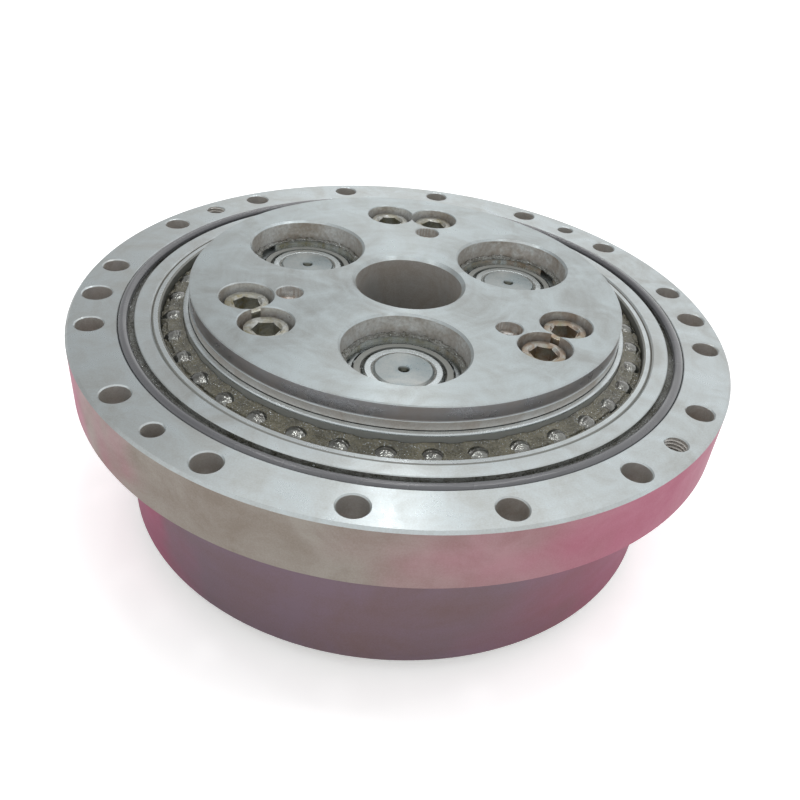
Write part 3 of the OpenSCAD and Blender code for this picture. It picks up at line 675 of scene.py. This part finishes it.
class REDUCER_OT_case(bpy.types.Operator):
    """Turn the case with its flange, ring groove, holes and jacking threads"""

    bl_idname = "reducer.case"
    bl_label = "Case"

    def execute(self, context):
        s = sizes()
        pin_r = 4 * MM
        pin_circle_r = 103 * MM
        slack, wall = 0.1 * MM, 0.4 * MM
        pins_low, pins_high = low("ring_pins").z - slack, high("ring_pins").z + slack
        ring_r = pin_circle_r + wall
        seal_r, seal_top = high("output_seal").x, high("output_seal").z
        race_r = OUTER_RACE_R
        e, c = s.edge_break, s.flange_chamfer
        seat_break, groove_break, root_break = 0.6 * MM, 0.3 * MM, 0.5 * MM
        groove_r = s.groove_outer - s.groove_width
        groove_z = FACE_Z - s.groove_depth
        body = turned([
            (seal_r, CASE_Z, e), (seal_r, seal_top), (race_r, seal_top), (race_r, pins_low),
            (ring_r, pins_low), (ring_r, pins_high), (race_r, pins_high), (race_r, FACE_Z, seat_break),
            (groove_r, FACE_Z, groove_break), (groove_r, groove_z, root_break),
            (s.groove_outer, groove_z, root_break), (s.groove_outer, FACE_Z, groove_break),
            (FLANGE_R, FACE_Z, c), (FLANGE_R, UNDERSIDE_Z, c), (BARREL_R, UNDERSIDE_Z, e),
            (BARREL_R, CASE_Z, c),
        ])
        pitch = 360 / BOLT_COUNT
        pairs = {
            "flange_locating_holes": 0.5, "flange_dowel_holes": 2.5, "flange_jacking_holes": 6.5,
        }
        groups = [("flange_bolts", [i * pitch for i in range(BOLT_COUNT)])]
        groups += [(name, [step * pitch, step * pitch + 180]) for name, step in pairs.items()]
        cutters = []
        for name, angles in groups:
            r = MOUNTS[name]["dims"]["hole_r_mm"] * MM
            mouth = 0.5 * MM
            cutters.append(copies(turned([
                (0, UNDERSIDE_Z - MM), (r + mouth + MM, UNDERSIDE_Z - MM), (r, UNDERSIDE_Z + mouth),
                (r, FACE_Z - mouth), (r + mouth + MM, FACE_Z + MM), (0, FACE_Z + MM),
            ], steps=40), round_the_axis(angles, HOLE_CIRCLE_R)))
        cutters.append(copies(turned([
            (0, pins_low), (pin_r, pins_low), (pin_r, pins_high), (0, pins_high),
        ], steps=20), round_the_axis(range(0, 360, 9), pin_circle_r)))
        cutters.append(copies(self.thread(s), round_the_axis(groups[3][1], HOLE_CIRCLE_R)))
        hole_reach, face_skin, clear = 6.3 * MM, 4 * MM, 0.1 * MM
        holes = [m.to_translation() for _, angles in groups for m in round_the_axis(angles, HOLE_CIRCLE_R)]

        face, rim, barrel, bored, greased = range(5)

        def zone(centre, normal):
            r = ring_radius(centre)
            inside = abs(normal.z) < 0.4 or UNDERSIDE_Z + MM < centre.z < FACE_Z - 0.6 * MM
            if r > BARREL_R + MM and inside and any(ring_radius(centre - h) < hole_reach for h in holes):
                return bored
            # Painted shade: the ring groove round the O-ring is given the dark wet grease.
            if groove_r - clear < r < s.groove_outer + clear and centre.z > groove_z - MM:
                return greased
            if r > BARREL_R + MM and centre.z < FACE_Z - 0.8 * c:
                return rim
            if r > BARREL_R - c and centre.z < UNDERSIDE_Z + MM:
                return barrel
            return face if centre.z > FACE_Z - face_skin else bored

        piece("turned_case", cut(body, *cutters), "case", ["case"],
              [once(turned_face_steel), once(rim_steel), once(barrel_steel), once(bored_steel),
               once(wet_grease_and_groove_shade)], zone)
        return {"FINISHED"}

    def thread(self, s):
        """The coil that cuts a jacking hole's thread."""
        turns = int((FACE_Z - UNDERSIDE_Z) / s.thread_pitch) - 1
        per_turn = 24
        crest = MOUNTS["flange_jacking_holes"]["dims"]["hole_r_mm"] * MM
        half = 0.42 * s.thread_pitch
        start = UNDERSIDE_Z + s.thread_pitch
        coil = bmesh.new()
        corners = [
            coil.verts.new(p) for p in (
                (crest - 0.1 * MM, 0, start - half), (crest + 0.75 * MM, 0, start),
                (crest - 0.1 * MM, 0, start + half))
        ]
        for a, b in zip(corners, corners[1:] + corners[:1]):
            coil.edges.new((a, b))
        bmesh.ops.spin(
            coil, geom=coil.verts[:] + coil.edges[:], cent=(0, 0, 0), axis=(0, 0, 1),
            dvec=(0, 0, s.thread_pitch / per_turn), angle=turns * math.tau, steps=turns * per_turn,
            use_merge=False)
        bmesh.ops.holes_fill(coil, edges=[e for e in coil.edges if e.is_boundary], sides=3)
        bmesh.ops.recalc_face_normals(coil, faces=coil.faces)
        return coil


class REDUCER_OT_hold_flange(bpy.types.Operator):
    """Turn the hold flange with its crankshaft pockets, counterbores and pin holes"""

    bl_idname = "reducer.hold_flange"
    bl_label = "Hold Flange"

    def execute(self, context):
        s = sizes()
        seat_r = s.race_bore
        lip_r, ledge_z = PLATE_R - s.lip_step, TOP_Z - s.lip_height
        plate = turned([
            (BORE_R, PLATE_Z, 0.5 * MM), (seat_r, PLATE_Z, 0.5 * MM), (seat_r, RACE_TOP_Z),
            (PLATE_R, RACE_TOP_Z, 0.15 * MM), (PLATE_R, ledge_z, 0.2 * MM), (lip_r, ledge_z),
            (lip_r, TOP_Z, s.edge_break), (BORE_R, TOP_Z, s.bore_chamfer),
        ])
        below, above = PLATE_Z - MM, TOP_Z + MM
        cup_r = 25 * MM
        clip_r = cup_r + MM
        clip_low, clip_high = low("cup_circlips").z, high("cup_circlips").z
        mouth, pocket_mouth = 0.4 * MM, 0.9 * MM
        pockets = turned([
            (0, below), (cup_r, below), (cup_r, clip_low), (clip_r, clip_low), (clip_r, clip_high),
            (cup_r, clip_high), (cup_r, TOP_Z - pocket_mouth), (cup_r + pocket_mouth + MM, above), (0, above),
        ], steps=120)
        crank_angles = [math.degrees(math.atan2(p.y, p.x)) for p in CRANK_AXES.values()]
        seat_z = high("carrier_screws").z - 12 * MM
        screw_r, counter_r, pin_r = 6.5 * MM, 11 * MM, PIN_R
        bore = [
            (0, below), (screw_r, below), (screw_r, seat_z), (counter_r, seat_z, 0.3 * MM),
            (counter_r, TOP_Z - mouth), (counter_r + mouth + MM, above), (0, above),
        ]
        counterbores = [
            copies(turned(bore, steps=72),
                   round_the_axis([a + side * SCREW_ANGLE for a in POST_ANGLES], SCREW_CIRCLE_R))
            for side in (-1, 1)
        ]
        pins = copies(turned([
            (0, below), (pin_r, below), (pin_r, TOP_Z - mouth), (pin_r + mouth + MM, above), (0, above),
        ], steps=48), round_the_axis(PIN_ANGLES, PIN_CIRCLE_R))
        axes = list(CRANK_AXES.values())

        top, bored, pocket, side = range(4)

        def zone(centre, normal):
            r = ring_radius(centre)
            if abs(normal.z) > 0.3 and (centre.z > TOP_Z - 2 * MM or r > lip_r - MM):
                return top
            if r > lip_r - MM:
                return side if centre.z > ledge_z else bored
            return bored if r < BORE_R + MM or centre.z < seat_z - MM and not near_a_crank(centre) else pocket

        def near_a_crank(centre):
            return any((centre.xy - axis).length < clip_r + MM for axis in axes)

        shape = cut(plate, copies(pockets, round_the_axis(crank_angles, CRANK_CIRCLE_R)), *counterbores, pins)
        piece("turned_hold_flange", shape, "carrier", ["hold_flange"],
              [once(plate_steel), once(bored_steel), once(pocket_steel), once(lip_steel)], zone)
        return {"FINISHED"}


class REDUCER_OT_main_bearing(bpy.types.Operator):
    """Grind the upper main bearing's races, and set its balls in a greased cage"""

    bl_idname = "reducer.main_bearing"
    bl_label = "Main Bearing"

    def execute(self, context):
        self.races()
        self.balls()
        self.cage()
        self.grease()
        return {"FINISHED"}

    def races(self):
        """The two races, each with its track cut by the balls' circle."""
        bore_r = sizes().race_bore
        clean, smeared, greased = range(3)
        e, seam, smear, high_shoulder = 0.5 * MM, 0.9 * MM, 0.8 * MM, 2.6 * MM
        reach = lambda r: math.degrees(math.acos((r - BALL_CIRCLE_R) / TRACK_R))
        high_r, low_r = BALL_CIRCLE_R + TRACK_R - high_shoulder, self.outer_low_r()
        low_z, high_z = low("upper_outer_race").z, high("upper_outer_race").z
        outer = [(high_r, low_z, e)] + arc(
            BALL_CIRCLE_R, BALL_Z, TRACK_R, -reach(high_r), reach(low_r), 12)
        outer += [
            (low_r, high_z, e), (low_r + smear, high_z), (OUTER_RACE_R, high_z, seam),
            (OUTER_RACE_R, low_z, e),
        ]
        piece("ground_outer_race", turned(outer), "case", ["upper_outer_race"],
              [once(race_steel), once(smeared_steel), once(olive_grease)],
              lambda centre, normal: smeared if normal.z < 0.9
              else clean if ring_radius(centre) > low_r + smear else greased)
        inner_low_r = BALL_CIRCLE_R - TRACK_R + LOW_SHOULDER
        inner = [(bore_r, low("upper_inner_race").z, e), (inner_low_r, low("upper_inner_race").z, e)]
        inner += arc(BALL_CIRCLE_R, BALL_Z, TRACK_R, 360 - reach(inner_low_r), reach(SHOULDER_R), 12)
        ring_r, groove_w, groove_z = PLATE_R + 0.35 * MM, 0.3 * MM, RACE_TOP_Z - 0.4 * MM
        inner += [
            (SHOULDER_R, RACE_TOP_Z, 0.9 * MM), (ring_r, RACE_TOP_Z, 0.1 * MM),
            (ring_r - groove_w, groove_z), (bore_r, groove_z),
        ]
        piece("ground_inner_race", turned(inner, rounds=3), "carrier", ["upper_inner_race"],
              [once(race_steel), once(smeared_steel)],
              lambda centre, normal: clean if centre.z > RACE_TOP_Z - MM else smeared)

    def outer_low_r(self):
        """Radius of the outer race's low shoulder, beside which the balls go in."""
        return BALL_CIRCLE_R + TRACK_R - LOW_SHOULDER

    def ball_angles(self):
        """Each ball's angle in degrees."""
        s = sizes()
        return [math.degrees(s.ball_start) + i * 360 / s.ball_count for i in range(s.ball_count)]

    def balls(self):
        """The row of balls."""
        ball = bmesh.new()
        bmesh.ops.create_uvsphere(ball, u_segments=28, v_segments=18, radius=BALL_R)
        piece("ball_row", copies(ball, round_the_axis(self.ball_angles(), BALL_CIRCLE_R, BALL_Z)),
              "upper_ball_set", ["upper_balls"], [once(ball_steel)], sharp=180)

    def cage(self):
        """The crown cage, with grease lying over it in lumps."""
        inner, outer = low_radius("upper_ball_cage"), high("upper_ball_cage").x
        rim_z, top = low("upper_ball_cage").z, high("upper_ball_cage").z
        pocket_r = BALL_R + 0.15 * MM
        sunk = 1.5 * MM
        ring = turned([
            (inner, rim_z, 0.4 * MM), (outer, rim_z, 0.4 * MM), (outer, top, 0.7 * MM), (inner, top, 0.7 * MM),
        ], steps=360, rounds=3)
        pocket = bmesh.new()
        bmesh.ops.create_uvsphere(pocket, u_segments=24, v_segments=16, radius=pocket_r)
        shape = cut(ring, copies(pocket, round_the_axis(self.ball_angles(), BALL_CIRCLE_R, BALL_Z)))
        for vert in shape.verts:
            if vert.co.z > top - sunk:
                vert.co.z -= abs(lump(vert.co))
        piece("greased_ball_cage", shape, "upper_ball_set", ["upper_ball_cage"],
              [once(olive_grease)], sharp=50)

    def grease(self):
        """Grease between the races, heaped against the inner one and drawn up round each ball."""
        clear, floor_z = 0.2 * MM, BALL_Z + 0.5 * MM
        reach, fade = 5.2 * MM, 1.2 * MM
        inner, outer = SHOULDER_R + clear, self.outer_low_r() - clear
        balls = [m.to_translation().xy for m in round_the_axis(self.ball_angles(), BALL_CIRCLE_R)]

        def level(point):
            nearest = min((point.xy - ball).length for ball in balls)
            drawn = math.exp(-max(0, nearest - reach) / fade)
            inward = (outer - ring_radius(point)) / (outer - inner)
            fillet = 1.2 * inward + 2.2 * inward ** 4
            return BALL_Z + (3.3 + fillet + 0.7 * drawn) * MM + 1.8 * (1 - inward ** 2) * lump(point)

        shape = grease_ring(inner, outer, floor_z, level, 18, 900)
        piece("bearing_grease", shape, "upper_ball_set", [], [once(olive_grease)], sharp=180)


class REDUCER_OT_flange_seal(bpy.types.Operator):
    """Mould the flange's O-ring"""

    bl_idname = "reducer.flange_seal"
    bl_label = "O-Ring"

    def execute(self, context):
        cord_r = (high("flange_o_ring").z - low("flange_o_ring").z) / 2
        centre_r = high("flange_o_ring").x - cord_r
        ring = turned(arc(centre_r, low("flange_o_ring").z + cord_r, cord_r, 0, 345, 23))
        piece("moulded_o_ring", ring, "case", ["flange_o_ring"], [once(rubber)], sharp=180)
        return {"FINISHED"}


class REDUCER_OT_carrier_fasteners(bpy.types.Operator):
    """Make the socket screws and locating pins that join the carrier's halves"""

    bl_idname = "reducer.carrier_fasteners"
    bl_label = "Screws and Pins"

    def execute(self, context):
        top, bottom = high("carrier_screws").z, low("carrier_screws").z
        head_r, head_h, shank_r = 9 * MM, 12 * MM, 6 * MM
        hex_r = 5 * MM / math.cos(math.radians(30))
        hex_depth, rim, cone = 6 * MM, 0.9 * MM, 0.6 * MM
        screw = turned([
            (0, bottom), (shank_r, bottom, MM), (shank_r, top - head_h), (head_r, top - head_h, 0.3 * MM),
            (head_r, top, rim), (hex_r + cone, top), (hex_r - cone / 2, top - rim), (0, top - rim),
        ], steps=72, rounds=2)
        socket = bmesh.new()
        bmesh.ops.create_cone(
            socket, cap_ends=True, segments=6, radius1=hex_r, radius2=hex_r, depth=8 * MM,
            matrix=Matrix.Translation((0, 0, top - hex_depth + 4 * MM)))
        angles = [a + side * SCREW_ANGLE for a in POST_ANGLES for side in (-1, 1)]
        screws = copies(cut(screw, socket), round_the_axis(angles, SCREW_CIRCLE_R))
        piece("socket_screws", screws, "carrier", ["carrier_screws"], [once(screw_steel)])
        pin_top, pin_low = high("carrier_pins").z, low("carrier_pins").z
        edge, tap_r, tap_mouth, tap_depth = 0.8 * MM, 2.5 * MM, 0.6 * MM, 10 * MM
        pin = turned([
            (0, pin_low), (PIN_R, pin_low, edge), (PIN_R, pin_top, edge), (tap_r + tap_mouth, pin_top),
            (tap_r, pin_top - tap_mouth), (tap_r, pin_top - tap_depth), (0, pin_top - tap_depth - MM),
        ], steps=48)
        pins = copies(pin, round_the_axis(PIN_ANGLES, PIN_CIRCLE_R))
        piece("locating_pins", pins, "carrier", ["carrier_pins"], [once(pin_steel)])
        return {"FINISHED"}


class REDUCER_OT_pocket_grease(bpy.types.Operator):
    """Lay grease on the pockets' circlips and in the crankshaft bearings"""

    bl_idname = "reducer.pocket_grease"
    bl_label = "Pocket Grease"

    def execute(self, context):
        on_clips = []
        for body, axis in CRANK_AXES.items():
            away = Vector((*axis, 0))
            place = Matrix.Translation(away)
            on_clips.append((self.clip_ring(away), place))
            for kind, ring in (("bearing", self.bearing_ring(away)), ("seam", self.seam())):
                self.lay(f"{body}_{kind}_grease", [(ring, place)], body)
        self.lay("circlip_grease", on_clips, "carrier")
        return {"FINISHED"}

    def lay(self, name, parts, body):
        """A piece of grease on a body, made of rings and their places."""
        piece(name, joined(parts), body, [], [once(wet_grease_and_groove_shade)], sharp=180)

    def clip_ring(self, away):
        """Grease heaped on a circlip, with lumps of its own for each pocket."""
        inner, outer, bed_z = 22.2 * MM, 24.9 * MM, high("cup_circlips").z
        clear, mean = 0.05 * MM, 0.35 * MM
        return grease_ring(
            inner, outer, bed_z + clear, lambda point: bed_z + mean + 2.2 * lump(point + away), 6, 220)

    def bearing_ring(self, away):
        """Grease sunk over the rollers of a crankshaft's upper bearing."""
        inner, outer, cup_z = 16.3 * MM, 20.1 * MM, high("upper_cups").z
        depth, mean = 4 * MM, 1.2 * MM
        return grease_ring(
            inner, outer, cup_z - depth, lambda point: cup_z - mean + 1.5 * lump(point - away), 8, 160)

    def seam(self):
        """Grease pressed out between a crankshaft and its cone."""
        cone_z = high("bearing_cones_1").z
        return turned([
            (12.1 * MM, cone_z - 2 * MM), (12.4 * MM, cone_z - 2 * MM), (12.9 * MM, cone_z - 0.15 * MM),
            (11.7 * MM, cone_z - 0.35 * MM), (12.1 * MM, cone_z - 0.7 * MM),
        ], steps=96)


class REDUCER_OT_inner_pieces(bpy.types.Operator):
    """Give the CAD's own inner pieces their finishes"""

    bl_idname = "reducer.inner_pieces"
    bl_label = "Inner Pieces"

    def execute(self, context):
        for name, node in frame["nodes"].items():
            if node.hide_render:
                continue
            node.data.materials.clear()
            node.data.materials.append(self.material(name))
        return {"FINISHED"}

    def material(self, name):
        """The finish of a CAD node, by its name."""
        family = name.rstrip("_123")
        if family == "crankshaft":
            body = "crank_" + name[-1]
            return once(crank_steel, "ground_" + body, tuple(CRANK_AXES[body]))
        if family == "output_seal":
            return once(rubber)
        if family in ("cup_circlips", "gear_circlip"):
            return once(screw_steel)
        if family in ("taper_cages", "needle_cages"):
            return once(smeared_steel)
        if family == "lower_ball_cage":
            return once(olive_grease)
        if family == "output_shaft":
            return once(bored_steel)
        if "balls" in family or "rollers" in family:
            return once(roller_steel)
        return once(race_steel)


class REDUCER_OT_stage(bpy.types.Operator):
    """Set the pale floor, the soft lights and the camera"""

    bl_idname = "reducer.stage"
    bl_label = "Stage"

    def execute(self, context):
        self.floor()
        self.world(context.scene)
        self.lights()
        self.camera(context.scene)
        context.scene.view_settings.view_transform = "Standard"
        return {"FINISHED"}

    def floor(self):
        """A wide pale floor that stays white round the object's shadow."""
        bm = bmesh.new()
        bmesh.ops.create_grid(bm, x_segments=1, y_segments=1, size=6)
        mesh = bpy.data.meshes.new("floor")
        bm.to_mesh(mesh)
        bm.free()
        floor = bpy.data.objects.new("floor", mesh)
        floor.location.z = CAD_BOX[0].z - 0.2 * MM
        bpy.context.scene.collection.objects.link(floor)
        material = bpy.data.materials.new("pale_floor")
        material.use_nodes = True
        tree = material.node_tree
        shader = tree.nodes["Principled BSDF"]
        ray = add(tree, "LightPath").outputs["Is Camera Ray"]
        colour = add(tree, "Mix", {0: ray, 6: (0.8, 0.8, 0.8, 1), 7: (1, 1, 1, 1)}, data_type="RGBA")
        glow = add(tree, "Math", {0: ray, 1: 0.3}, operation="MULTIPLY").outputs[0]
        tree.links.new(colour.outputs[2], shader.inputs["Base Color"])
        tree.links.new(glow, shader.inputs["Emission Strength"])
        shader.inputs["Emission Color"].default_value = (1, 1, 1, 1)
        shader.inputs["Roughness"].default_value = 0.9
        shader.inputs["Specular IOR Level"].default_value = 0.0
        mesh.materials.append(material)

    def world(self, scene):
        """A white surround for the camera, and a softly graded one for the light."""
        world = bpy.data.worlds.new("studio")
        scene.world = world
        world.use_nodes = True
        tree = world.node_tree
        background = tree.nodes["Background"]
        way = add(tree, "TexCoord").outputs["Generated"]
        bright_side, dim, bright = (0.956, 0.292, 0), 0.56, 1.05
        side = add(tree, "VectorMath", {0: way, 1: bright_side}, operation="DOT_PRODUCT").outputs["Value"]
        split = add(tree, "MapRange", {0: side, 1: -0.14, 2: 0.1, 3: dim, 4: bright},
                    interpolation_type="SMOOTHSTEP").outputs[0]
        depth = add(tree, "SeparateXYZ", {0: way}).outputs["Y"]
        behind = add(tree, "MapRange", {0: depth, 1: -0.3, 2: 0.2}, interpolation_type="SMOOTHSTEP").outputs[0]
        grade = add(tree, "Mix", {0: behind, 2: 1.0, 3: split}).outputs[0]
        path = add(tree, "LightPath").outputs
        strength = add(tree, "Mix", {0: path["Is Camera Ray"], 2: grade, 3: 1.0}).outputs[0]
        tree.links.new(strength, background.inputs["Strength"])
        background.inputs["Color"].default_value = (1, 1, 1, 1)

    def lights(self):
        """A window of six soft panes overhead, and a narrow pane behind that fans out on the turned faces."""
        aim = Vector((0, 0, FACE_Z))
        panes = [((x, y, 1.3), (0.13, 0.16), 0.75) for x in (-0.45, 0.02, 0.49) for y in (-0.1, 0.4)]
        panes.append(((-0.086, 1.0, 1.3), (0.08, 0.3), 0.45))
        for place, size, power in panes:
            light = bpy.data.lights.new("window_pane", "AREA")
            light.shape = "RECTANGLE"
            light.size, light.size_y = size
            light.energy = power
            lamp = bpy.data.objects.new("window_pane", light)
            lamp.location = place
            lamp.rotation_euler = (aim - lamp.location).to_track_quat("-Z", "Y").to_euler()
            bpy.context.scene.collection.objects.link(lamp)

    def camera(self, scene):
        """The view from the front, looking down at the input side."""
        data = bpy.data.cameras.new("camera")
        data.lens = 37.48
        data.sensor_width = 36
        data.shift_x = -0.0226
        data.shift_y = 0.0129
        camera = bpy.data.objects.new("camera", data)
        scene.collection.objects.link(camera)
        turn = Matrix.Rotation(math.radians(2.76), 4, "Z")
        tilt = Matrix.Rotation(math.radians(54.07), 4, "X")
        roll = Matrix.Rotation(math.radians(6.77), 4, "Z")
        place = Vector((0.0259, -0.3219, FACE_Z + 0.1786))
        camera.matrix_world = Matrix.Translation(place) @ turn @ tilt @ roll
        scene.camera = camera


class REDUCER_PT_panel(bpy.types.Panel):
    """The reducer's pieces, sizes and finishes"""

    bl_idname = "REDUCER_PT_panel"
    bl_label = "Cycloidal Reducer"
    bl_space_type = "VIEW_3D"
    bl_region_type = "UI"
    bl_category = "Reducer"

    def draw(self, context):
        for operator in OPERATORS:
            self.layout.operator(operator.bl_idname)
        for group in (context.scene.reducer_sizes, context.scene.reducer_finish):
            for name in group.bl_rna.properties.keys():
                if name not in ("rna_type", "name"):
                    self.layout.prop(group, name)


OPERATORS = (
    REDUCER_OT_case, REDUCER_OT_hold_flange, REDUCER_OT_main_bearing, REDUCER_OT_flange_seal,
    REDUCER_OT_carrier_fasteners, REDUCER_OT_pocket_grease, REDUCER_OT_inner_pieces, REDUCER_OT_stage,
)
CLASSES = (ReducerSizes, ReducerFinish, *OPERATORS, REDUCER_PT_panel)


def register():
    for cls in CLASSES:
        bpy.utils.register_class(cls)
    bpy.types.Scene.reducer_sizes = PointerProperty(type=ReducerSizes)
    bpy.types.Scene.reducer_finish = PointerProperty(type=ReducerFinish)


def unregister():
    del bpy.types.Scene.reducer_finish
    del bpy.types.Scene.reducer_sizes
    for cls in reversed(CLASSES):
        bpy.utils.unregister_class(cls)


def main():
    """Makes every piece and the stage."""
    register()
    for operator in OPERATORS:
        group, name = operator.bl_idname.split(".")
        getattr(getattr(bpy.ops, group), name)()


if __name__ == "__main__":
    main()
